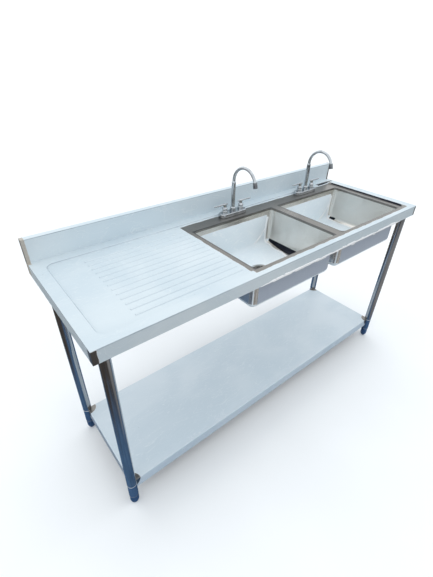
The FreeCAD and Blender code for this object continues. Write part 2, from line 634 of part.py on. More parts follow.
def tap_small_parts(side, x):
    """The spout nut over the centre hub and the aerator on the gooseneck's end."""
    height = "(nut_top - hub_top)"
    inward_by, up_by = tangent_arc("nut_radius", "nut_mouth", "nut_round")
    nut = turned(f"tap_{side}_nut", (
        ("riser_radius + slide_fit", "0"), ("nut_radius", "0"), ("nut_radius", f"{height} - nut_round"),
        ("nut_mouth", height, f"nut_radius - {inward_by}", f"{height} - nut_round + {up_by}"),
        ("riser_radius + slide_fit", height),
    ))
    keep(f"tap_{side}_spout_nut", place(nut, x, "tap_depth", f"{FIELD} + hub_top"))

    wall = "(aerator_radius - aerator_wall)"
    grip = "(neck_tube + grip_gap)"
    seat = "(aerator_length - aerator_grip)"
    aerator = turned(f"tap_{side}_outlet", (
        (wall, "0"), ("aerator_radius - 0.6", "0"), ("aerator_radius", "0.8"),
        ("aerator_radius", "aerator_length - 9"), ("aerator_radius - 0.7", "aerator_length - 8.2"),
        ("aerator_radius - 0.7", "aerator_length - 7.4"), ("aerator_radius", "aerator_length - 6.6"),
        ("aerator_radius", "aerator_length - 2.4"), ("neck_tube + 0.9", "aerator_length"),
        (grip, "aerator_length"), (grip, seat), ("aerator_slot", seat),
        ("aerator_slot", f"{seat} - 2"), ("0", f"{seat} - 2"), ("0", "5"), (wall, "5"),
    ))
    swing = math.radians(number("neck_sweep"))
    drop = f"{seat}*{-math.cos(swing):.6f}"
    forward = f"{seat}*{math.sin(swing):.6f}"
    end_y = f"(tap_depth - neck_radius + neck_radius*{math.cos(swing):.6f})"
    end_z = f"({FIELD} + tail_seat + tail_lift + riser_top + neck_radius*{math.sin(swing):.6f})"
    lean = ((1, 0, 0), number("neck_sweep") - 180)
    keep(f"tap_{side}_aerator", place(aerator, x, f"{end_y} - {forward}", f"{end_z} - {drop}", lean))


def tap_lever(side, tag, x, outward):
    """A valve stem and the lever it turns, the blade pointing outward when the valve is shut."""
    top = "(lever_top - lever_roof - stem_foot)"
    stem = turned(f"tap_{side}_{tag}_spindle", (
        ("0", "0"), ("valve_bore - slide_fit", "0"), ("valve_bore - slide_fit", "bonnet_top - stem_foot"),
        ("stem_neck", "bonnet_top - stem_foot + 2"), ("stem_neck", top), ("0", top),
    ))
    keep(f"tap_{side}_{tag}_stem", place(stem, x, "tap_depth", f"{FIELD} + stem_foot"))

    rise = "(lever_top - lever_bottom)"
    socket = "(stem_neck + stem_grip)"
    hub = turned(f"tap_{side}_{tag}_cap", (
        ("0", f"{rise} - lever_roof"), (socket, f"{rise} - lever_roof"), (socket, "0"),
        ("lever_hub - 1", "0"), ("lever_hub", "1"), ("lever_hub", f"{rise} - lever_dome"),
        *dome("lever_hub", "lever_dome", rise),
    ))
    place(hub, x, "tap_depth", f"{FIELD} + lever_bottom")
    reach = f"(blade_reach*{outward})"
    tail = f"(-blade_tail*{outward})"
    blade = padded(f"tap_{side}_{tag}_blade", "XY_Plane", (
        (reach, "-blade_tip"),
        (reach, "blade_tip", f"({reach} + {outward}*blade_tip)", "0"),
        (tail, "blade_tip"), (tail, "-blade_tip", f"({tail} - {outward}*blade_tip)", "0"),
    ), "blade_thick")
    round_edges(blade, "blade_round", lambda edge: edge.BoundBox.ZLength < 1e-4)
    place(blade, x, "tap_depth", f"{FIELD} + lever_top - blade_thick - blade_down")
    slot = rod(f"tap_{side}_{tag}_slot", socket, f"{rise} - lever_roof",
               (x, "tap_depth", f"{FIELD} + lever_bottom"))
    whole = fuse(f"tap_{side}_{tag}_forging", [hub, blade])
    keep(f"tap_{side}_{tag}_lever", cut(f"tap_{side}_{tag}_handle", whole, slot))


def build_taps():
    """Two taps, each behind its bowl, with bonnets and lock nuts as sets of like fasteners."""
    bonnets = []
    locks = []
    rise = "(bonnet_top - hub_top)"
    bore = "(valve_bore + 0.1)"
    for side, centre in BOWLS:
        x = f"({centre} + tap_offset)"
        tap_base(side, x)
        tap_gasket(side, x)
        tap_spout(side, x)
        tap_small_parts(side, x)
        for tag, sign, outward in (("hot", "-", -1), ("cold", "+", 1)):
            spot = f"({x} {sign} tap_centres)"
            tap_lever(side, tag, spot, outward)
            bonnet = turned(f"bonnet_{side}_{tag}", (
                (bore, "0"), ("bonnet_skirt", "0"), ("bonnet_skirt", "4"), ("bonnet_waist", "6"),
                ("bonnet_waist", f"{rise} - 8", "bonnet_bulge", f"{rise}/2"),
                ("bonnet_neck", f"{rise} - 3", "bonnet_neck + 1", f"{rise} - 6"),
                ("bonnet_neck", rise), (bore, rise),
            ))
            bonnets.append(place(bonnet, spot, "tap_depth", f"{FIELD} + hub_top"))
            nut = turned(f"lock_{side}_{tag}", (
                ("shank_radius + slide_fit", "0"), ("lock_radius - 2", "0"), ("lock_radius", "2"),
                ("lock_radius", "lock_height"), ("shank_radius + slide_fit", "lock_height"),
            ))
            locks.append(place(nut, spot, "tap_depth", f"{FIELD_UNDER} - lock_height"))
    keep("tap_bonnets", group("bonnet_set", bonnets))
    keep("tap_lock_nuts", group("lock_set", locks))


# ---------------------------------------------------------------- waste fittings
def waste_body(side, x):
    """The strainer cup: a flange on the bowl floor, a seat for the basket and a threaded spud."""
    top = "(spud_drop + drain_steel)"
    seat = "(spud_drop - cup_depth)"
    inside = "(cup_radius - cup_wall)"
    lean = f"{1 - math.cos(math.pi / 4):.6f}"
    body = turned(f"waste_{side}_cup", (
        ("outlet_radius", "0"), ("spud_radius", "0"), ("spud_radius", seat),
        ("cup_radius - cup_round", seat),
        ("cup_radius", f"{seat} + cup_round", f"cup_radius - {lean}*cup_round", f"{seat} + {lean}*cup_round"),
        ("cup_radius", "spud_drop"), ("drain_flange", "spud_drop"),
        ("drain_flange - drain_steel", top,
         f"drain_flange - {lean}*drain_steel", f"{top} - {lean}*drain_steel"),
        (inside, top), (inside, f"{seat} + cup_round"),
        ("cup_radius - cup_round", f"{seat} + cup_wall",
         f"{inside} - {lean}*(cup_round - cup_wall)", f"{seat} + cup_wall + {lean}*(cup_round - cup_wall)"),
        ("outlet_radius", f"{seat} + cup_wall"),
    ))
    keep(f"waste_{side}_body", place(body, x, "bowl_middle", f"{BOWL_FLOOR} - spud_drop"))


def waste_basket(side, x):
    """The lift-out basket: a pierced cup with a rim and a centre knob."""
    wall = "(basket_radius - basket_steel)"
    lean = f"{1 - math.cos(math.pi / 4):.6f}"
    cup = turned(f"waste_{side}_strainer", (
        ("0", "0"), ("basket_radius - basket_round", "0"),
        ("basket_radius", "basket_round", f"basket_radius - {lean}*basket_round", f"{lean}*basket_round"),
        ("basket_radius", "basket_height"), (wall, "basket_height"), (wall, "basket_round"),
        (f"{wall} - basket_round", "basket_steel"), ("knob_post", "basket_steel"),
        ("knob_post", "basket_height"),
        ("knob_radius - 1", "basket_height + 1"), ("knob_radius", "basket_height + 3"),
        *dome("knob_radius", "knob_dome", "(basket_height + 3 + knob_dome)"),
    ))
    place(cup, x, "bowl_middle", f"{BOWL_FLOOR} - cup_depth + cup_wall")
    holes = []
    for radius, count in ((12, 6), (20, 10), (28, 14)):
        for turn in range(count):
            angle = 2 * math.pi * turn / count
            holes.append(rod(f"waste_{side}_hole", "basket_hole", "3*basket_steel",
                             (f"{x} + {radius * math.cos(angle):.4f}",
                              f"bowl_middle + {radius * math.sin(angle):.4f}",
                              f"{BOWL_FLOOR} - cup_depth + cup_wall - basket_steel")))
    keep(f"waste_{side}_basket", cut(f"waste_{side}_pierced", cup, group(f"waste_{side}_holes", holes)))


def waste_tail(side, x):
    """The flanged tailpiece that carries the water on below the spud."""
    inner = "(tail_tube - sheet_steel)"
    top = "(tail_length + flange_height)"
    tail = turned(f"waste_{side}_pipe", (
        (inner, "0"), ("tail_tube", "0"), ("tail_tube", "tail_free"),
        ("tail_neck", "tail_free"), ("tail_neck", "tail_length"),
        ("tail_flange", "tail_length"), ("tail_flange", top), (inner, top),
    ))
    keep(f"waste_{side}_tailpiece",
         place(tail, x, "bowl_middle", f"{BOWL_FLOOR} - spud_drop - {top}"))


def build_wastes():
    """A strainer, basket and tailpiece in each bowl, with seals, ring nuts and couplings as sets."""
    seals = []
    rings = []
    couplings = []
    for side, x in BOWLS:
        waste_body(side, x)
        waste_basket(side, x)
        waste_tail(side, x)
        under = f"({BOWL_FLOOR} - sheet_steel)"
        clear = "(cup_radius + slide_fit)"
        seal = turned(f"seal_{side}", ((clear, "0"), ("seal_radius", "0"),
                                       ("seal_radius", "seal_height"), (clear, "seal_height")))
        seals.append(place(seal, x, "bowl_middle", f"{under} - seal_height"))
        shoulder = "(ring_height - ring_flange)"
        ring = turned(f"ring_{side}", ((clear, "0"), ("ring_body", "0"), ("ring_body", shoulder),
                                       ("ring_radius", shoulder), ("ring_radius", "ring_height"),
                                       (clear, "ring_height")))
        ring_foot = f"({under} - seal_height - ring_height)"
        place(ring, x, "bowl_middle", ring_foot)
        lugs = []
        for angle in range(0, 360, 60):
            lug = block(f"lug_{side}", ("lug_length", "lug_width", "ring_height"), (x, "bowl_middle", "0"))
            spin = FreeCAD.Rotation(FreeCAD.Vector(0, 0, 1), angle)
            reach = number("ring_radius - lug_length + 2")
            offset = spin.multVec(FreeCAD.Vector(reach, -number("lug_width") / 2, 0))
            place(lug, f"{x} + {offset.x:.4f}", f"bowl_middle + {offset.y:.4f}", ring_foot,
                  ((0, 0, 1), angle))
            lugs.append(lug)
        rings.append(fuse(f"ring_nut_{side}", [ring] + lugs))
        step = "(coupling_lip + flange_height)"
        edge = "(coupling_radius - coupling_edge)"
        tube = "(tail_tube + slide_fit)"
        spud = "(spud_radius + slide_fit)"
        flange = "(tail_flange + 0.3)"
        coupling = turned(f"coupling_{side}", (
            (tube, "0"), (edge, "0"), ("coupling_radius", "coupling_edge"),
            ("coupling_radius", "coupling_height - coupling_edge"), (edge, "coupling_height"),
            (spud, "coupling_height"), (spud, step), (flange, step), (flange, "coupling_lip"),
            (tube, "coupling_lip"),
        ))
        couplings.append(place(coupling, x, "bowl_middle", f"{BOWL_FLOOR} - spud_drop - {step}"))
    keep("waste_seals", group("seal_set", seals))
    keep("waste_ring_nuts", group("ring_set", rings))
    keep("waste_couplings", group("coupling_set", couplings))


# ---------------------------------------------------------------- build, check and write
build_worktop()
build_end_caps()
build_bowls()
build_channels()
build_legs()
build_shelf()
build_corners_and_feet()
build_taps()
build_wastes()
doc.recompute()

for item in doc.Objects:
    if "Invalid" in item.State or "Error" in item.State:
        raise RuntimeError(f"{item.Label} did not compute: {item.State}")
for label, item in nodes.items():
    shape = item.Shape
    if shape.isNull() or not shape.isValid() or not shape.Solids:
        raise RuntimeError(f"{label} has no sound shape")

os.makedirs("parts", exist_ok=True)
for label, item in nodes.items():
    item.Shape.exportStep(f"parts/{label}.step")
    print(f"{label}: {len(item.Shape.Solids)} solid(s), {item.Shape.Volume / 1000:.1f} cm3")
print(f"{len(nodes)} sub-parts")
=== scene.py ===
"""Looks for a stainless catering sink table: film-covered sheet, bare bowls, bright legs and taps."""
import logging
import math
import random
from dataclasses import dataclass
from enum import Enum
from typing import Callable, Sequence

import bmesh
import bpy
from mathutils import Matrix, Vector


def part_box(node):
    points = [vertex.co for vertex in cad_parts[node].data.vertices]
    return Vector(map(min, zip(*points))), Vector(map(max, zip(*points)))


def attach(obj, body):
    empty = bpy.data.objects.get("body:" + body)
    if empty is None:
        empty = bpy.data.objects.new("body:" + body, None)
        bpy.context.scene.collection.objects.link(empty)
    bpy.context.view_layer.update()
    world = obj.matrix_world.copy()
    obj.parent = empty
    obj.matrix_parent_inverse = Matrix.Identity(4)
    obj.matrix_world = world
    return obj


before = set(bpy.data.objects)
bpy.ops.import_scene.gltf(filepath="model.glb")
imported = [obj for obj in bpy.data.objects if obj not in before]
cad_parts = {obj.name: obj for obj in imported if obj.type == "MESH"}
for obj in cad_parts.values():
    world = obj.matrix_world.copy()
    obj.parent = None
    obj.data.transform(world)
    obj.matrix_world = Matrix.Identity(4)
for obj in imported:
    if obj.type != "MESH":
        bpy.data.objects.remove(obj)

log = logging.getLogger("sink_table")
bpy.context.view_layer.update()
Point = tuple[float, float, float]
Colour = tuple[float, float, float]


class Grain(Enum):
    """Which way the brush lines of a sheet run."""

    ALONG = (2.0, 70.0, 70.0)
    ACROSS = (70.0, 2.0, 70.0)
    UPRIGHT = (70.0, 70.0, 2.0)


# ------------------------------------------------------------------ node trees
class Graph:
    """A material's node tree, with short calls for the nodes that the finishes use."""

    def __init__(self, name: str) -> None:
        """Start an empty tree.

        Args:
            name: the material's name.
        """
        self.material = bpy.data.materials.new(name)
        self.material.use_nodes = True
        self.tree = self.material.node_tree
        self.tree.nodes.clear()
        self.place = self.add("ShaderNodeTexCoord").outputs["Object"]

    def add(self, kind: str, **settings: object) -> bpy.types.Node:
        """Add a node.

        Args:
            kind: Blender's name for the node.
            settings: the node's own properties.

        Returns:
            The new node.
        """
        node = self.tree.nodes.new(kind)
        for name, value in settings.items():
            setattr(node, name, value)
        return node

    def feed(self, socket: bpy.types.NodeSocket, value: object) -> None:
        """Link a socket, or set it where the value is a plain number or colour.

        Args:
            socket: the input that is fed.
            value: another node's output, a number, or three or four numbers.
        """
        if isinstance(value, bpy.types.NodeSocket):
            self.tree.links.new(value, socket)
        elif isinstance(value, (int, float)):
            socket.default_value = value
        else:
            wanted = len(socket.default_value)
            socket.default_value = (tuple(value) + (1.0,))[:wanted]

    def math(self, operation: str, first: object, second: object = 0.0) -> bpy.types.NodeSocket:
        """A Math node's result.

        Args:
            operation: such as MULTIPLY.
            first: its first value.
            second: its second value.

        Returns:
            The value socket.
        """
        node = self.add("ShaderNodeMath", operation=operation)
        self.feed(node.inputs[0], first)
        self.feed(node.inputs[1], second)
        return node.outputs[0]

    def vector(self, operation: str, first: object,
               second: object = (0.0, 0.0, 0.0)) -> bpy.types.NodeSocket:
        """A Vector Math node's vector result.

        Args:
            operation: such as SUBTRACT.
            first: its first vector.
            second: its second vector.

        Returns:
            The vector socket.
        """
        node = self.add("ShaderNodeVectorMath", operation=operation)
        self.feed(node.inputs[0], first)
        self.feed(node.inputs[1], second)
        return node.outputs[0]

    def noise(self, scale: float, stretch: Point = (1.0, 1.0, 1.0), detail: float = 3.0,
              output: str = "Fac", warp: float = 0.0) -> bpy.types.NodeSocket:
        """Smooth noise fixed to the piece.

        Args:
            scale: how many features there are to a metre.
            stretch: the scale along each axis.
            detail: the octaves.
            output: Fac or Color.
            warp: the noise's own distortion.

        Returns:
            The noise socket.
        """
        node = self.add("ShaderNodeTexNoise")
        self.feed(node.inputs["Vector"], self.vector("MULTIPLY", self.place, stretch))
        node.inputs["Scale"].default_value = scale
        node.inputs["Detail"].default_value = detail
        node.inputs["Distortion"].default_value = warp
        return node.outputs[output]

    def cells(self, scale: float, stretch: Point = (1.0, 1.0, 1.0)) -> bpy.types.NodeSocket:
        """The distance to the nearest of scattered points.

        Args:
            scale: how many points there are to a metre.
            stretch: the scale along each axis.

        Returns:
            The distance socket.
        """
        node = self.add("ShaderNodeTexVoronoi")
        self.feed(node.inputs["Vector"], self.vector("MULTIPLY", self.place, stretch))
        node.inputs["Scale"].default_value = scale
        return node.outputs["Distance"]

    def ramp(self, value: object, low: float, high: float, start: float = 0.0,
             end: float = 1.0) -> bpy.types.NodeSocket:
        """A smooth step.

        Args:
            value: what is read.
            low: where the step begins.
            high: where it ends.
            start: the result at low.
            end: the result at high.

        Returns:
            The stepped value.
        """
        node = self.add("ShaderNodeMapRange", interpolation_type="SMOOTHSTEP")
        for index, item in enumerate((value, low, high, start, end)):
            self.feed(node.inputs[index], item)
        return node.outputs[0]

    def mix(self, factor: object, first: object, second: object) -> bpy.types.NodeSocket:
        """A mix of two colours.

        Args:
            factor: 0 for the first and 1 for the second.
            first: a colour.
            second: a colour.

        Returns:
            The mixed colour.
        """
        node = self.add("ShaderNodeMix", data_type="RGBA")
        self.feed(node.inputs[0], factor)
        self.feed(node.inputs[6], first)
        self.feed(node.inputs[7], second)
        return node.outputs[2]

    def between(self, factor: object, first: object, second: object) -> bpy.types.NodeSocket:
        """A mix of two numbers.

        Args:
            factor: 0 for the first and 1 for the second.
            first: a number.
            second: a number.

        Returns:
            The mixed number.
        """
        node = self.add("ShaderNodeMix", data_type="FLOAT")
        self.feed(node.inputs[0], factor)
        self.feed(node.inputs[2], first)
        self.feed(node.inputs[3], second)
        return node.outputs[0]

    def split(self, value: object) -> list[bpy.types.NodeSocket]:
        """The three parts of a vector.

        Args:
            value: a vector socket.

        Returns:
            Its X, Y and Z sockets.
        """
        node = self.add("ShaderNodeSeparateXYZ")
        self.feed(node.inputs[0], value)
        return list(node.outputs)

    def inside(self, low: Point, high: Point, rag: Point = (0.0, 0.0, 0.0), soft: float = 0.0012,
               fineness: float = 22.0, place: object = None) -> bpy.types.NodeSocket:
        """1 inside a box and 0 outside it, with a ragged border.

        Args:
            low: the box's lowest corner.
            high: its highest corner.
            rag: how far the border wanders along each axis, in metres.
            soft: half the width of the border.
            fineness: how quickly it wanders.
            place: coordinates other than the piece's own.

        Returns:
            The mask.
        """
        middle = tuple((a + b) / 2 for a, b in zip(low, high))
        half = tuple((b - a) / 2 for a, b in zip(low, high))
        place = place or self.place
        if any(rag):
            wander = self.noise(fineness, detail=4.0, output="Color")
            drift = self.vector("SUBTRACT", wander, (0.5, 0.5, 0.5))
            drift = self.vector("MULTIPLY", drift, tuple(4 * reach for reach in rag))
            place = self.vector("ADD", place, drift)
        away = self.vector("ABSOLUTE", self.vector("SUBTRACT", place, middle))
        over = self.split(self.vector("SUBTRACT", away, half))
        deepest = self.math("MAXIMUM", self.math("MAXIMUM", over[0], over[1]), over[2])
        return self.ramp(deepest, -soft, soft, 1.0, 0.0)

    def any_of(self, masks: Sequence[object]) -> object:
        """The highest of several masks.

        Args:
            masks: the mask sockets.

        Returns:
            One mask.
        """
        result = masks[0]
        for mask in masks[1:]:
            result = self.math("MAXIMUM", result, mask)
        return result

    def bump(self, height: object, depth: float, strength: float = 1.0, under: object = None) -> object:
        """A normal from a height.

        Args:
            height: the height, from 0 to 1.
            depth: how much 1 is, in metres.
            strength: the node's strength.
            under: a normal that this one goes over.

        Returns:
            The normal socket.
        """
        node = self.add("ShaderNodeBump")
        node.inputs["Strength"].default_value = strength
        node.inputs["Distance"].default_value = depth
        self.feed(node.inputs["Height"], height)
        if under is not None:
            self.feed(node.inputs["Normal"], under)
        return node.outputs[0]

    def surface(self, colour: object, metallic: object, roughness: object, normal: object = None,
                **fixed: float) -> bpy.types.Material:
        """Finish the tree with a surface.

        Args:
            colour: the base colour.
            metallic: how metallic it is.
            roughness: its roughness.
            normal: a normal socket, or None.
            fixed: other inputs of the surface by name, with underscores for spaces.

        Returns:
            The finished material.
        """
        shader = self.add("ShaderNodeBsdfPrincipled")
        self.feed(shader.inputs["Base Color"], colour)
        self.feed(shader.inputs["Metallic"], metallic)
        self.feed(shader.inputs["Roughness"], roughness)
        if normal is not None:
            self.feed(shader.inputs["Normal"], normal)
        for name, value in fixed.items():
            shader.inputs[name.replace("_", " ")].default_value = value
        output = self.add("ShaderNodeOutputMaterial")
        self.tree.links.new(shader.outputs[0], output.inputs[0])
        return self.material


# ------------------------------------------------------------------ finishes
@dataclass(frozen=True)
class BareSteel:
    """Brushed sheet steel with rub marks."""

    name: str = "bare_sheet"
    colour: Colour = (0.285, 0.270, 0.252)
    dark: Colour = (0.205, 0.194, 0.180)
    roughness: float = 0.30
    grain: Grain = Grain.ALONG

    def layers(self, graph: Graph) -> tuple[object, object, object]:
        """Add the steel's own nodes to a tree.

        Args:
            graph: the tree.

        Returns:
            Its colour, roughness and height sockets.
        """
        lines = graph.noise(14.0, self.grain.value, detail=4.0)
        fine = graph.noise(60.0, self.grain.value, detail=2.0)
        clouds = graph.noise(3.2, detail=3.0, warp=0.6)
        tone = graph.math("ADD", graph.math("MULTIPLY", lines, 0.55), graph.math("MULTIPLY", clouds, 0.6))
        colour = graph.mix(graph.ramp(tone, 0.35, 0.85), self.dark, self.colour)
        roughness = graph.ramp(tone, 0.3, 0.9, self.roughness + 0.07, self.roughness - 0.06)
        return colour, roughness, fine

    def material(self) -> bpy.types.Material:
        """The steel as a material of its own."""
        graph = Graph(self.name)
        colour, roughness, height = self.layers(graph)
        return graph.surface(colour, 1.0, roughness, graph.bump(height, 0.0001, 0.5))


@dataclass(frozen=True)
class Film:
    """Pale protective film with wrinkles, specks and small tears."""

    name: str = "film"
    colour: Colour = (0.545, 0.625, 0.675)
    bright: Colour = (0.620, 0.685, 0.720)
    roughness: float = 0.38
    wrinkle: float = 0.0006
    speck: Colour = (0.12, 0.12, 0.13)
    band_shade_colour: Colour = (0.28, 0.34, 0.39)
    shade_bands: tuple[Point, ...] = ()

    def layers(self, graph: Graph) -> tuple[object, object, object]:
        """Add the film's own nodes to a tree.

        Args:
            graph: the tree.

        Returns:
            Its colour, roughness and height sockets.
        """
        clouds = graph.noise(2.4, (1.0, 1.6, 1.0), detail=4.0, warp=0.8)
        creases = graph.noise(9.0, (0.6, 2.2, 1.0), detail=5.0, warp=2.2)
        ridge = graph.math("ABSOLUTE", graph.math("SUBTRACT", creases, 0.5))
        crease = graph.ramp(ridge, 0.0, 0.012, 1.0, 0.0)
        tone = graph.math("ADD", graph.math("MULTIPLY", crease, 0.35), clouds)
        colour = graph.mix(graph.ramp(tone, 0.35, 0.75), self.colour, self.bright)
        dots = graph.cells(9.0, (1.0, 1.3, 1.0))
        marks = graph.ramp(dots, 0.014, 0.022, 1.0, 0.0)
        colour = graph.mix(marks, colour, self.speck)
        height = graph.split(graph.place)[2]
        # Painted shade: the film turns darker in bands at given heights, along the ribs, the step and the
        # upstand's fold.
        for low, high, darkness in self.shade_bands:
            middle = (low + high) / 2
            off = graph.math("ABSOLUTE", graph.math("SUBTRACT", height, middle))
            reach = graph.ramp(graph.noise(7.0), 0.3, 0.7, 0.4 * darkness, darkness)
            shade_in_band = graph.ramp(off, 0.35 * (high - low), 0.55 * (high - low), reach, 0.0)
            colour = graph.mix(shade_in_band, colour, self.band_shade_colour)
        roughness = graph.ramp(clouds, 0.3, 0.7, self.roughness + 0.08, self.roughness - 0.05)
        waves = graph.noise(18.0, (1.0, 2.0, 1.0), detail=4.0, warp=1.2)
        height = graph.math("ADD", graph.math("MULTIPLY", crease, 0.3), waves)
        return colour, roughness, height

    def material(self) -> bpy.types.Material:
        """The film as a material of its own."""
        graph = Graph(self.name)
        colour, roughness, height = self.layers(graph)
        return graph.surface(colour, 0.0, roughness, graph.bump(height, self.wrinkle, 0.6), Coat_Weight=0.15)


@dataclass(frozen=True)
class FilmOverSteel:
    """Sheet steel under film that is missing in named regions."""

    name: str
    bare: Callable[[Graph], object]
    film: Film = Film()
    steel: BareSteel = BareSteel()
    # Painted shade and dark reflection: a mask where the colour turns near black; and painted shade: a mask
    # where the film is darkened.
    shade_and_reflection: Callable[[Graph], object] | None = None
    ground: Callable[[Graph], object] | None = None
    shaded: Callable[[Graph], object] | None = None
    shade_and_reflection_colour: Colour = (0.020, 0.022, 0.030)
    shade_film_colour: Colour = (0.40, 0.45, 0.53)
    torn_edge: Colour = (0.93, 0.95, 0.96)
    weld_dark: Colour = (0.38, 0.35, 0.31)
    weld_light: Colour = (0.56, 0.52, 0.46)

    def material(self) -> bpy.types.Material:
        """Mix film and steel by where the film is missing, with painted shade and dark reflections, ground
        welds and film painted darker in shade.
        """
        graph = Graph(self.name)
        mask = self.bare(graph)
        shade_and_reflection = self.shade_and_reflection(graph) if self.shade_and_reflection else 0.0
        mask = graph.math("MAXIMUM", mask, shade_and_reflection)
        film = self.film.layers(graph)
        steel = self.steel.layers(graph)
        off_border = graph.math("ABSOLUTE", graph.math("SUBTRACT", mask, 0.5))
        torn = graph.ramp(off_border, 0.0, 0.46, 1.0, 0.0)
        clean = graph.math("SUBTRACT", 1.0, shade_and_reflection)
        # Painted shade and dark reflection: near-black colour over the masked coves, steps and seams.
        bare = graph.mix(shade_and_reflection, steel[0], self.shade_and_reflection_colour)
        # Painted shade: the film colour is darkened where the shaded mask is set.
        cover = graph.mix(self.shaded(graph), film[0], self.shade_film_colour) if self.shaded else film[0]
        colour = graph.mix(mask, cover, bare)
        colour = graph.mix(graph.math("MULTIPLY", torn, clean), colour, self.torn_edge)
        roughness = graph.between(mask, film[1], steel[1])
        metallic = graph.math("MULTIPLY", mask, graph.math("SUBTRACT", 1.0, torn))
        if self.ground:
            weld = self.ground(graph)
            grit = graph.mix(graph.noise(160.0, detail=3.0), self.weld_dark, self.weld_light)
            colour = graph.mix(weld, colour, grit)
            roughness = graph.between(weld, roughness, 0.6)
            kept = graph.math("SUBTRACT", 1.0, graph.math("MULTIPLY", weld, 0.8))
            metallic = graph.math("MULTIPLY", metallic, kept)
        height = graph.between(mask, graph.math("ADD", film[2], 0.5), graph.math("MULTIPLY", steel[2], 0.15))
        normal = graph.bump(height, self.film.wrinkle, 0.6)
        return graph.surface(colour, metallic, roughness, normal)


@dataclass(frozen=True)
class BrightTube:
    """Polished tube with faint lengthwise draw lines and smudges."""

    name: str = "bright_tube"
    colour: Colour = (0.50, 0.515, 0.54)
    dark: Colour = (0.33, 0.34, 0.355)
    roughness: float = 0.10
    bead: tuple[float, float] | None = None
    bead_colour: Colour = (0.86, 0.86, 0.85)

    def material(self) -> bpy.types.Material:
        """The polished tube's material, with a pale satin bead between two heights where there is one."""
        graph = Graph(self.name)
        lines = graph.noise(22.0, (9.0, 9.0, 0.3), detail=3.0)
        smudge = graph.noise(14.0, detail=3.0, warp=0.5)
        colour = graph.mix(graph.ramp(lines, 0.3, 0.7), self.dark, self.colour)
        rough = graph.ramp(smudge, 0.35, 0.7, self.roughness, self.roughness + 0.14)
        if self.bead:
            low, high = self.bead
            height = graph.split(graph.place)[2]
            off = graph.math("ABSOLUTE", graph.math("SUBTRACT", height, (low + high) / 2))
            ring = graph.ramp(off, (high - low) / 2, (high - low) / 2 + 0.0004, 1.0, 0.0)
            colour = graph.mix(ring, colour, self.bead_colour)
            rough = graph.between(ring, rough, 0.5)
        return graph.surface(colour, 1.0, rough, graph.bump(lines, 0.0002, 0.25))


@dataclass(frozen=True)
class Plated:
    """Bright plate, with a little haze and finger marks."""

    name: str = "chrome_plate"
    colour: Colour = (0.50, 0.52, 0.54)
    haze: Colour = (0.33, 0.34, 0.36)
    roughness: float = 0.06

    def material(self) -> bpy.types.Material:
        """The plate's material."""
        graph = Graph(self.name)
        marks = graph.noise(90.0, detail=4.0, warp=0.7)
        haze = graph.noise(24.0, detail=2.0)
        colour = graph.mix(graph.ramp(haze, 0.45, 0.7), self.colour, self.haze)
        rough = graph.ramp(marks, 0.45, 0.7, self.roughness, self.roughness + 0.12)
        return graph.surface(colour, 1.0, rough, graph.bump(marks, 0.00005, 0.3))


@dataclass(frozen=True)
class Moulded:
    """Rubber, plastic or cast brass with a fine surface and a little dirt."""

    name: str
    colour: Colour
    dirt: Colour
    metallic: float = 0.0
    roughness: float = 0.5
    fineness: float = 220.0

    def material(self) -> bpy.types.Material:
        """The moulded or machined piece's material."""
        graph = Graph(self.name)
        pores = graph.noise(self.fineness, detail=4.0)
        dirt = graph.noise(36.0, detail=3.0, warp=0.6)
        colour = graph.mix(graph.ramp(dirt, 0.45, 0.75), self.colour, self.dirt)
        rough = graph.ramp(dirt, 0.4, 0.7, self.roughness, self.roughness + 0.12)
        return graph.surface(colour, self.metallic, rough, graph.bump(pores, 0.0002, 0.4))


# ------------------------------------------------------------------ mesh helpers
def dress(piece: bpy.types.Object, material: bpy.types.Material) -> None:
    """Put one material in every slot of a piece.

    Args:
        piece: the piece.
        material: its material.
    """
    if not piece.data.materials:
        piece.data.materials.append(material)
    for holder in piece.material_slots:
        holder.material = material


def sheet_piece(name: str, rows: Sequence[Sequence[Point]], thickness: float, body: str,
                material: bpy.types.Material) -> bpy.types.Object:
    """A thin curved sheet from a grid of points.

    Args:
        name: the piece's name.
        rows: rows of points, all of the same length.
        thickness: how thick the sheet is, in metres.
        body: the body that it rides on.
        material: its material.

    Returns:
        The new piece.
    """
    made = bmesh.new()
    grid = [[made.verts.new(place) for place in row] for row in rows]
    for upper, lower in zip(grid, grid[1:]):
        for index in range(len(upper) - 1):
            made.faces.new((upper[index], upper[index + 1], lower[index + 1], lower[index]))
    for face in made.faces:
        face.smooth = True
    mesh = bpy.data.meshes.new(name)
    made.to_mesh(mesh)
    made.free()
    piece = bpy.data.objects.new(name, mesh)
    bpy.context.scene.collection.objects.link(piece)
    skin = piece.modifiers.new("thickness", "SOLIDIFY")
    skin.thickness = thickness
    skin.offset = 0.0
    dress(piece, material)
    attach(piece, body)
    return piece


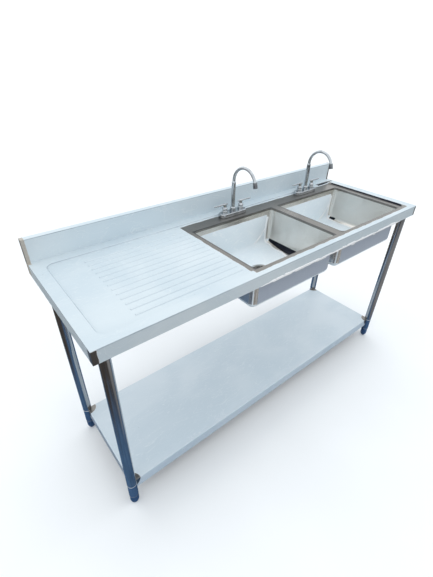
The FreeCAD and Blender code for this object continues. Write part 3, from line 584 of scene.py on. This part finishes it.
# ------------------------------------------------------------------ the table
@dataclass
class Bowl:
    """One bowl, with film on its rear wall, its floor and the outside of its front."""

    side: str
    lean: float = 0.0
    flange: float = 0.010
    sheet: float = 0.0012
    skin: float = 0.0006
    thin: float = 0.0003
    reach: float = 0.1
    film_inset: float = 0.015
    crease_line: tuple[tuple[float, float], ...] = (
        (0.0200, 0.102), (0.0241, 0.088), (0.0310, 0.076), (0.0395, 0.063),
        (0.0510, 0.046), (0.0627, 0.029), (0.0740, 0.014), (0.0871, 0.002))

    def __post_init__(self) -> None:
        """Read the bowl's inside from its node."""
        low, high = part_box(f"bowl_{self.side}")
        self.left = low.x + self.flange
        self.right = high.x - self.flange
        self.front = low.y + self.flange
        self.rear = high.y - self.flange
        self.floor = low.z + self.sheet
        self.top = high.z

    def zone(self, graph: Graph, rag: Point = (0.0, 0.0, 0.0), **sides: float) -> object:
        """1 in a box round the bowl, whose sides lie well outside it where they aren't given.

        Args:
            graph: the tree that the mask is made in.
            rag: how far the border wanders along each axis.
            sides: any of left, right, front, rear, low and high.

        Returns:
            The mask.
        """
        low = (sides.get("left", self.left - self.reach), sides.get("front", self.front - self.reach),
               sides.get("low", 0.0))
        high = (sides.get("right", self.right + self.reach), sides.get("rear", self.rear + self.reach),
                sides.get("high", 1.0))
        return graph.inside(low, high, rag, self.thin)

    def leaning(self, graph: Graph) -> object:
        """Coordinates whose X grows towards the front by the lean, for a border that runs at a slant.

        Args:
            graph: the tree.

        Returns:
            The coordinates.
        """
        back = graph.math("SUBTRACT", self.rear, graph.split(graph.place)[1])
        node = graph.add("ShaderNodeCombineXYZ")
        graph.feed(node.inputs[0], graph.math("MULTIPLY", back, self.lean))
        return graph.vector("ADD", graph.place, node.outputs[0])

    def facing_in(self, graph: Graph) -> object:
        """1 on the floor, the right wall and the cove between them, and 0 on their outsides.

        Args:
            graph: the tree that the mask is made in.

        Returns:
            The mask.
        """
        parts = graph.split(graph.add("ShaderNodeTexCoord").outputs["Normal"])
        return graph.ramp(graph.math("SUBTRACT", parts[2], parts[0]), -0.05, 0.05)

    def wedge(self, graph: Graph, inset: float) -> object:
        """The strip of floor and cove beside the right wall, wider towards the front by the lean.

        Args:
            graph: the tree.
            inset: its width at the rear wall.

        Returns:
            The mask.
        """
        low = (self.right - inset, self.front - self.skin, self.floor - self.skin)
        high = (self.right + 1.0, self.rear - 0.012, self.floor + 0.022)
        strip = graph.inside(low, high, (0.002, 0.0, 0.0), place=self.leaning(graph))
        return graph.math("MULTIPLY", strip, self.facing_in(graph))

    def bare_regions(self, graph: Graph) -> object:
        """Bare walls left, right and front, a bare band at the top, and a bare outside but for the front.

        Args:
            graph: the tree that the mask is made in.

        Returns:
            The mask.
        """
        within = self.front - self.skin
        above_cove = self.floor + 0.024
        sideways = (0.002, 0.0, 0.0)
        return graph.any_of([
            self.zone(graph, sideways, left=self.right - 0.026, front=within, low=self.floor + 0.020),
            self.zone(graph, right=self.left + 0.004, front=within, low=above_cove),
            self.zone(graph, rear=self.front + 0.004, front=within, low=above_cove),
            self.zone(graph, (0.0, 0.0, 0.0008), front=within, low=self.top - 0.032),
            self.wedge(graph, 0.017),
            self.zone(graph, right=self.left - self.skin),
            self.zone(graph, sideways, right=self.left + 0.026, rear=within),
            self.zone(graph, left=self.right + self.skin),
            self.zone(graph, front=self.rear + self.skin),
            self.zone(graph, front=self.front + 0.030, high=self.floor - self.skin),
        ])

    def outside_front(self, graph: Graph) -> object:
        """The outside of the front wall, where the film is painted darker as shade."""
        return self.zone(graph, rear=self.front - self.skin)

    def painted_dark_regions(self, graph: Graph) -> object:
        """Painted shade and dark reflection in the cove beside the right wall; without a lean, only a spot
        in its rear corner.

        Args:
            graph: the tree that the mask is made in.

        Returns:
            The mask.
        """
        if self.lean:
            return self.wedge(graph, 0.006)
        low = (self.right - 0.013, self.rear - 0.050, self.floor - self.skin)
        high = (self.right + self.reach, self.rear - 0.010, self.floor + 0.016)
        spot = graph.inside(low, high, (0.002, 0.004, 0.002))
        return graph.math("MULTIPLY", spot, self.facing_in(graph))

    def film_edge(self, material: bpy.types.Material) -> None:
        """The film's lifted edge down the rear wall, round the cove and forward over the floor.

        Args:
            material: the film's own material.
        """
        edge = self.right - self.film_inset - 0.004
        cove = 0.024
        start = 0.150
        run = 0.330
        rows: list[list[Point]] = []
        wall_steps = 14
        for index in range(wall_steps):
            z = self.floor + start - (start - cove) * index / (wall_steps - 1)
            x = edge - 0.006 * math.sin(math.pi * index / wall_steps)
            y = self.rear - 0.001
            rows.append([(x - 0.010, y, z), (x - 0.004, y - 0.0015, z), (x + 0.001, y - 0.0045, z)])
        cove_steps = 6
        round_off = cove - 0.001
        for index in range(1, cove_steps):
            turn = math.pi / 2 * index / cove_steps
            y = self.rear - cove + round_off * math.cos(turn)
            z = self.floor + cove - round_off * math.sin(turn)
            rows.append([(edge - 0.010, y, z), (edge - 0.004, y - 0.001, z + 0.001),
                         (edge + 0.001, y - 0.003, z + 0.003)])
        floor_steps = 30
        z = self.floor + 0.001
        for index in range(floor_steps):
            forward = cove + (run - cove) * index / (floor_steps - 1)
            x = edge - self.lean * forward + 0.0025 * math.sin(forward * 60.0)
            y = self.rear - forward
            lift = 0.003 + 0.002 * math.sin(forward * 41.0 + 1.0)
            rows.append([(x - 0.010, y, z), (x - 0.004, y, z + 0.4 * lift), (x + 0.001, y, z + lift)])
        sheet_piece(f"film_edge_bowl_{self.side}", rows, 0.0002, "table", material)

    def crease(self, name: str, points: Sequence[Point], material: bpy.types.Material) -> None:
        """A raised crease in the film, along a line of points on the rear wall.

        Args:
            name: the piece's name.
            points: the line.
            material: the film's own material.
        """
        width = 0.006
        height = 0.0026
        up = Vector((0.0, -1.0, 0.0))
        outline = ((-0.5, 0.0), (-0.2, 0.7), (0.0, 1.0), (0.2, 0.7), (0.5, 0.0))
        rows: list[list[Point]] = []
        for index, place in enumerate(points):
            ahead = Vector(points[min(index + 1, len(points) - 1)]) - Vector(points[max(index - 1, 0)])
            across = ahead.cross(up).normalized()
            taper = math.sin(math.pi * (index + 0.5) / len(points))
            wide, tall = width * taper, height * taper
            rows.append([tuple(Vector(place) + across * (wide * aside) + up * (tall * rise))
                         for aside, rise in outline])
        sheet_piece(name, rows, 0.0002, "table", material)

    def creases(self, material: bpy.types.Material) -> None:
        """Three creases down the rear wall, each further from the corner and lower.

        Args:
            material: the film's own material.
        """
        foot = self.floor + 0.014
        for index, (shift, sink) in enumerate(((0.0, 0.0), (0.021, 0.018), (0.046, 0.036))):
            shrink = 1.0 - 0.2 * index
            wall = self.rear - 0.0008
            line = [(self.right - inset - shift, wall, foot + max(height - sink, 0.0) * shrink)
                    for inset, height in self.crease_line]
            self.crease(f"film_crease_{self.side}_{index}", line, material)

    def build(self, loose: bpy.types.Material) -> None:
        """Dress the bowl and add the film's loose edge and creases.

        Args:
            loose: the material of the film's loose edges.
        """
        # The bowl's film is painted lighter than the worktop's to make up for the shade inside the bowl; the
        # cove is painted dark as shade and reflection, and the outside front darker as shade.
        film = Film(colour=(0.79, 0.87, 0.92), bright=(0.88, 0.94, 0.97), wrinkle=0.0008)
        steel = BareSteel(colour=(0.80, 0.775, 0.735), dark=(0.64, 0.615, 0.575), roughness=0.27)
        finish = FilmOverSteel(f"bowl_{self.side}_sheet", self.bare_regions, film, steel,
                               shade_and_reflection=self.painted_dark_regions, shaded=self.outside_front)
        dress(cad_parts[f"bowl_{self.side}"], finish.material())
        self.film_edge(loose)
        self.creases(loose)


@dataclass
class Bowls:
    """Both bowls."""

    bowls: tuple[Bowl, ...]

    def build(self) -> None:
        """Dress both bowls with one kind of loose film."""
        loose = Film("bowl_film_edge", colour=(0.92, 0.95, 0.97), bright=(0.96, 0.97, 0.98)).material()
        for bowl in self.bowls:
            bowl.build(loose)


@dataclass
class Worktop:
    """The folded top, its end plates and the film on it."""

    bowls: tuple[Bowl, ...]
    rim: float = 0.910
    pressed: float = 0.903
    past: float = 0.010
    sheet: float = 0.0013
    bare_low: Point = (-0.266, -0.277, 0.890)
    bare_high: Point = (0.8545, 0.222, 0.920)
    step_top: float = 0.8572
    loose_from: float = -0.262
    loose_to: float = 0.762

    def __post_init__(self) -> None:
        """Read the worktop's box from its node."""
        self.low, self.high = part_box("worktop")

    def rear_left_strip(self, graph: Graph) -> object:
        """The weld strip up the left end of the upstand.

        Args:
            graph: the tree that the mask is made in.

        Returns:
            The mask.
        """
        low = (self.low.x - self.past, self.high.y - 0.038, self.low.z - self.past)
        high = (self.low.x + 0.012, self.high.y + self.past, self.high.z + self.past)
        return graph.inside(low, high, (0.002, 0.004, 0.0))

    def bare_regions(self, graph: Graph) -> object:
        """Where the film is off the worktop: round the bowls, at its corners and on its hidden side.

        Args:
            graph: the tree that the mask is made in.

        Returns:
            The mask.
        """
        low, high, past, sheet = self.low, self.high, self.past, self.sheet
        foot = low.z - past
        under_rim = self.rim - 0.0015
        ragged = (0.003, 0.003, 0.0)
        around_bowls = graph.inside(self.bare_low, self.bare_high, ragged)
        front_left = graph.inside((low.x - past, low.y - past, foot),
                                  (low.x + 0.018, low.y + 0.022, under_rim), ragged)
        front_right = graph.inside((high.x - 0.012, low.y - past, foot),
                                   (high.x + past, low.y + 0.014, under_rim), ragged)
        rear_right = graph.inside((high.x - 0.012, high.y - 0.038, foot),
                                  (high.x + past, high.y + past, high.z + past), ragged)
        under = graph.inside((low.x + sheet, low.y + sheet, foot),
                             (high.x - sheet, high.y - sheet, self.pressed - sheet), soft=0.0003)
        return graph.any_of([around_bowls, front_left, front_right, self.rear_left_strip(graph), rear_right,
                             under])

    def painted_dark_regions(self, graph: Graph) -> object:
        """Painted shade and dark reflection in the pressed step right of the right bowl, and a painted
        shadow line in the seam round each bowl.

        Args:
            graph: the tree that the mask is made in.

        Returns:
            The mask.
        """
        slope = self.pressed + 0.0004
        below = self.pressed - 0.003
        top = self.rim - 0.0003
        front = -0.256
        edge = 0.0004
        whole_slope = (0.850, slope, front, 0.224, (0.0, 0.0, 0.0))
        front_wedge = (0.844, below, front, -0.190, (0.003, 0.012, 0.0))
        wedge_tail = (0.847, below, -0.230, -0.120, (0.001, 0.012, 0.0))
        marks = [graph.inside((x, near, z), (self.step_top, far, top), rag, edge)
                 for x, z, near, far, rag in (whole_slope, front_wedge, wedge_tail)]
        marks.append(graph.inside((0.750, 0.2265, slope), (0.876, 0.2420, self.rim + 0.002),
                                  (0.02, 0.002, 0.0), 0.0006))
        # Painted shadow in the seam round each bowl, at 0.65 strength.
        seam = 0.0034
        lines = [graph.inside((bowl.left - seam, bowl.front - seam, self.pressed - 0.0011),
                              (bowl.right + seam, bowl.rear + seam, self.pressed + 0.001), soft=edge)
                 for bowl in self.bowls]
        return graph.any_of([*marks, graph.math("MULTIPLY", graph.any_of(lines), 0.65)])

    def build(self) -> None:
        """Dress the worktop and its end plates, and add the film's loose edge."""
        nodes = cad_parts
        # Heights of the painted shade bands on the film: the rib flanks, the rim's step and the upstand's
        # fold.
        ribs = (self.pressed + 0.0004, self.pressed + 0.0020, 0.28)
        step = (self.rim - 0.0038, self.rim - 0.0004, 0.9)
        upstand_fold = (self.high.z - 0.0042, self.high.z - 0.0014, 1.0)
        finish = FilmOverSteel("worktop_sheet", self.bare_regions, Film(shade_bands=(ribs, step, upstand_fold)),
                               shade_and_reflection=self.painted_dark_regions, ground=self.rear_left_strip)
        dress(nodes["worktop"], finish.material())
        steel = BareSteel("end_plate", grain=Grain.UPRIGHT, roughness=0.36).material()
        for side in ("left", "right"):
            dress(nodes[f"splash_cap_{side}"], steel)
        self.loose_film()

    def loose_film(self) -> None:
        """The film's torn, lifted lower edge along the front apron, below the bowls."""
        chance = random.Random(7)
        white = Film("loose_film", colour=(0.86, 0.88, 0.89), bright=(0.93, 0.94, 0.94)).material()
        front = self.low.y - 0.0002
        foot = self.low.z
        steps = 240
        rows: list[list[Point]] = [[], [], [], []]
        rise = 0.008
        hang = 0.004
        for index in range(steps + 1):
            x = self.loose_from + (self.loose_to - self.loose_from) * index / steps
            taper = min(1.0, 12 * index / steps, 12 * (steps - index) / steps)
            if chance.random() < 0.12:
                rise = chance.uniform(0.003, 0.011)
            if chance.random() < 0.10:
                hang = chance.uniform(0.001, 0.009)
            top = foot + 0.0012 + taper * (rise + chance.uniform(-0.0006, 0.0006))
            bottom = foot - taper * (hang + chance.uniform(-0.0005, 0.0005))
            out = 0.0003 + 0.0003 * (1 + math.sin(x * 47.0)) / 2
            rows[0].append((x, front, top))
            rows[1].append((x, front - 0.3 * out, foot + 0.0006))
            rows[2].append((x, front - 0.8 * out, (foot + bottom) / 2))
            rows[3].append((x, front - out, bottom))
        sheet_piece("film_apron_edge", rows, 0.0002, "table", white)


@dataclass
class Shelf:
    """The undershelf with film, bare round its welded corners."""

    weld_radius: float = 0.044

    def bare_regions(self, graph: Graph) -> object:
        """Where the film is off the shelf: round the welded corners, on its left face and underneath.

        Args:
            graph: the tree that the mask is made in.

        Returns:
            The mask.
        """
        masks = []
        low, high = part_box("undershelf")
        for x in (low.x, high.x):
            for y in (low.y, high.y):
                offset = graph.vector("SUBTRACT", graph.place, (x, y, high.z))
                node = graph.add("ShaderNodeVectorMath", operation="LENGTH")
                graph.feed(node.inputs[0], offset)
                reach = graph.math("ADD", node.outputs["Value"],
                                   graph.math("MULTIPLY", graph.noise(40.0), 0.008))
                masks.append(graph.ramp(reach, self.weld_radius, self.weld_radius + 0.0016, 1.0, 0.0))
        masks.append(graph.inside((low.x - 0.001, low.y + 0.002, low.z - 0.01),
                                  (low.x + 0.0004, high.y + 0.001, high.z - 0.003), (0.0, 0.0, 0.0006)))
        masks.append(graph.inside((low.x + 0.001, low.y + 0.001, low.z - 0.01),
                                  (high.x - 0.001, high.y - 0.001, high.z - 0.0010), soft=0.0002))
        return graph.any_of(masks)

    def build(self) -> None:
        """Dress the shelf sheet."""
        finish = FilmOverSteel("shelf_sheet", self.bare_regions,
                               film=Film(colour=(0.560, 0.645, 0.705), bright=(0.645, 0.715, 0.765)))
        dress(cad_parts["undershelf"], finish.material())


@dataclass
class Frame:
    """Legs, shelf corner tubes, feet, channels and their small parts."""

    corners: tuple[str, ...] = ("front_left", "front_right", "rear_left", "rear_right")

    def build(self) -> None:
        """Dress every piece of the underframe."""
        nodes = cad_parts
        tube = BrightTube().material()
        # The corner tubes and feet are tinted blue: a painted reflection of the blue ground, on top of the
        # mirrored ground card.
        corner_tube = BrightTube("corner_tube", colour=(0.43, 0.48, 0.55), dark=(0.28, 0.32, 0.39),
                                 roughness=0.13, bead=(0.1330, 0.1356)).material()
        foot = BrightTube("turned_foot", colour=(0.34, 0.40, 0.50), dark=(0.17, 0.22, 0.31),
                          roughness=0.16).material()
        channel = BareSteel("mill_channel", grain=Grain.ALONG, roughness=0.42).material()
        insert = Moulded("insert_plastic", (0.20, 0.21, 0.23), (0.10, 0.10, 0.11)).material()
        screw = Moulded("screw_steel", (0.20, 0.20, 0.21), (0.08, 0.08, 0.08), 1.0, 0.35).material()
        for corner in self.corners:
            dress(nodes[f"leg_{corner}"], tube)
            dress(nodes[f"shelf_corner_{corner}"], corner_tube)
            dress(nodes[f"bullet_foot_{corner}"], foot)
            dress(nodes[f"foot_insert_{corner}"], insert)
            dress(nodes[f"leg_plug_{corner}"], channel)
        for name in ("cross_channel_left", "cross_channel_right", "drainboard_channel", "shelf_channel"):
            dress(nodes[name], channel)
        dress(nodes["leg_screws"], screw)


@dataclass
class Taps:
    """The two gooseneck taps and their fixings."""

    sides: tuple[str, ...] = ("left", "right")

    def build(self) -> None:
        """Dress every piece of both taps."""
        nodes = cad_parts
        plate = Plated().material()
        outlet = Plated("outlet_plate", colour=(0.19, 0.20, 0.21), haze=(0.12, 0.12, 0.13),
                        roughness=0.12).material()
        brass = Moulded("plain_brass", (0.62, 0.44, 0.19), (0.38, 0.26, 0.11), 1.0, 0.32).material()
        rubber = Moulded("seal_rubber", (0.022, 0.022, 0.024), (0.045, 0.044, 0.042), 0.0, 0.62).material()
        for side in self.sides:
            for part in ("base", "spout", "spout_nut", "hot_lever", "cold_lever"):
                dress(nodes[f"tap_{side}_{part}"], plate)
            dress(nodes[f"tap_{side}_aerator"], outlet)
            dress(nodes[f"tap_{side}_gasket"], rubber)
            for part in ("hot_stem", "cold_stem"):
                dress(nodes[f"tap_{side}_{part}"], brass)
        dress(nodes["tap_bonnets"], plate)
        dress(nodes["tap_lock_nuts"], brass)
        dress(nodes["waste_seals"], rubber)


@dataclass
class Wastes:
    """Strainers, baskets and tailpieces."""

    sides: tuple[str, ...] = ("left", "right")

    def build(self) -> None:
        """Dress every piece of both wastes."""
        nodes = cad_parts
        cup = Plated("strainer_steel", colour=(0.62, 0.62, 0.61), haze=(0.46, 0.46, 0.45),
                     roughness=0.16).material()
        brass = Moulded("cast_brass", (0.56, 0.41, 0.20), (0.33, 0.24, 0.12), 1.0, 0.38).material()
        for side in self.sides:
            for part in ("body", "basket", "tailpiece"):
                dress(nodes[f"waste_{side}_{part}"], cup)
        dress(nodes["waste_ring_nuts"], brass)
        dress(nodes["waste_couplings"], brass)


# ------------------------------------------------------------------ stage
@dataclass
class Studio:
    """Pale floor, soft light, a tinted ground card for the bright metal to mirror, and the camera."""

    eye: Point = (-1.07177, -1.02075, 1.57749)
    yaw: float = math.radians(39.752)
    pitch: float = math.radians(34.27)
    roll: float = math.radians(1.52)
    lens: float = 21.9215

    def floor(self) -> None:
        """A wide pale floor."""
        graph = Graph("pale_floor")
        tone = graph.noise(1.4, detail=2.0)
        colour = graph.mix(graph.ramp(tone, 0.3, 0.7), (0.88, 0.89, 0.90), (0.91, 0.92, 0.93))
        material = graph.surface(colour, 0.0, 0.8)
        made = bmesh.new()
        bmesh.ops.create_grid(made, x_segments=8, y_segments=8, size=200.0)
        mesh = bpy.data.meshes.new("studio_floor")
        made.to_mesh(mesh)
        made.free()
        floor = bpy.data.objects.new("studio_floor", mesh)
        floor.location = (0.0, 0.0, -0.0004)
        bpy.context.scene.collection.objects.link(floor)
        floor.visible_diffuse = False
        floor.visible_glossy = False
        floor.visible_shadow = False
        dress(floor, material)

    def ground_card(self) -> None:
        """A card below the floor, seen only by mirrored and bounced light: blue near, brown further out."""
        graph = Graph("ground_card")
        away = graph.vector("SUBTRACT", graph.vector("ABSOLUTE", graph.place), (0.75, 0.25, 0.0))
        parts = graph.split(away)
        far = graph.math("MAXIMUM", parts[0], parts[1])
        colour = graph.mix(graph.ramp(far, 0.25, 0.75), (0.09, 0.18, 0.32), (0.060, 0.046, 0.037))
        across = graph.ramp(graph.split(graph.place)[0], -0.75, -0.45)
        ahead = graph.ramp(graph.split(graph.place)[1], -0.55, -0.42, 1.0, 0.0)
        colour = graph.mix(graph.math("MULTIPLY", across, ahead), colour, (0.30, 0.28, 0.265))
        colour = graph.mix(graph.ramp(far, 1.3, 1.7), colour, (0.26, 0.25, 0.24))
        colour = graph.mix(graph.ramp(far, 2.1, 2.6), colour, (0.05, 0.05, 0.055))
        material = graph.surface(colour, 0.0, 0.9)
        made = bmesh.new()
        bmesh.ops.create_grid(made, x_segments=8, y_segments=8, size=12.0)
        mesh = bpy.data.meshes.new("ground_card")
        made.to_mesh(mesh)
        made.free()
        card = bpy.data.objects.new("ground_card", mesh)
        card.location = (0.0, 0.0, -0.003)
        bpy.context.scene.collection.objects.link(card)
        card.visible_camera = False
        card.visible_shadow = False
        dress(card, material)

    def lamp(self, name: str, place: Point, target: Point, size: float, power: float,
             colour: Colour) -> None:
        """A large soft lamp.

        Args:
            name: the lamp's name.
            place: where it hangs.
            target: what it points at.
            size: the side of its square.
            power: its power in watts.
            colour: its colour.
        """
        data = bpy.data.lights.new(name, "AREA")
        data.size = size
        data.energy = power
        data.color = colour
        lamp = bpy.data.objects.new(name, data)
        lamp.location = place
        lamp.rotation_euler = (Vector(target) - Vector(place)).to_track_quat("-Z", "Y").to_euler()
        bpy.context.scene.collection.objects.link(lamp)

    def sky(self) -> None:
        """An even pale surround."""
        world = bpy.data.worlds.new("pale_surround")
        world.use_nodes = True
        shade = world.node_tree.nodes["Background"]
        shade.inputs["Color"].default_value = (0.93, 0.97, 1.0, 1.0)
        shade.inputs["Strength"].default_value = 1.25
        bpy.context.scene.world = world
        bpy.context.scene.view_settings.view_transform = "Standard"

    def camera(self) -> None:
        """The camera, turned by its yaw, pitch and roll."""
        forward = Vector((math.sin(self.yaw) * math.cos(self.pitch),
                          math.cos(self.yaw) * math.cos(self.pitch), -math.sin(self.pitch)))
        right = Vector((math.cos(self.yaw), -math.sin(self.yaw), 0.0))
        up = right.cross(forward)
        across = math.cos(self.roll) * right + math.sin(self.roll) * up
        above = -math.sin(self.roll) * right + math.cos(self.roll) * up
        turn = Matrix((across, above, -forward)).transposed().to_4x4()
        data = bpy.data.cameras.new("eye")
        data.lens = self.lens
        data.sensor_width = 36.0
        camera = bpy.data.objects.new("eye", data)
        camera.matrix_world = Matrix.Translation(self.eye) @ turn
        bpy.context.scene.collection.objects.link(camera)
        bpy.context.scene.camera = camera

    def build(self) -> None:
        """Set the whole stage."""
        self.floor()
        self.sky()
        self.ground_card()
        self.lamp("top_lamp", (0.3, 0.6, 3.4), (0.0, 0.0, 0.8), 3.0, 7.0, (1.0, 0.99, 0.97))
        self.camera()


def main() -> None:
    """Build and dress every sub-assembly in order."""
    logging.basicConfig(level=logging.INFO, format="%(message)s")
    bowls = (Bowl("left", lean=0.14), Bowl("right"))
    for part in (Studio(), Worktop(bowls), Bowls(bowls), Shelf(), Frame(), Taps(), Wastes()):
        part.build()
        log.info("%s done", type(part).__name__)
    bpy.context.view_layer.update()


if __name__ == "__main__":
    main()
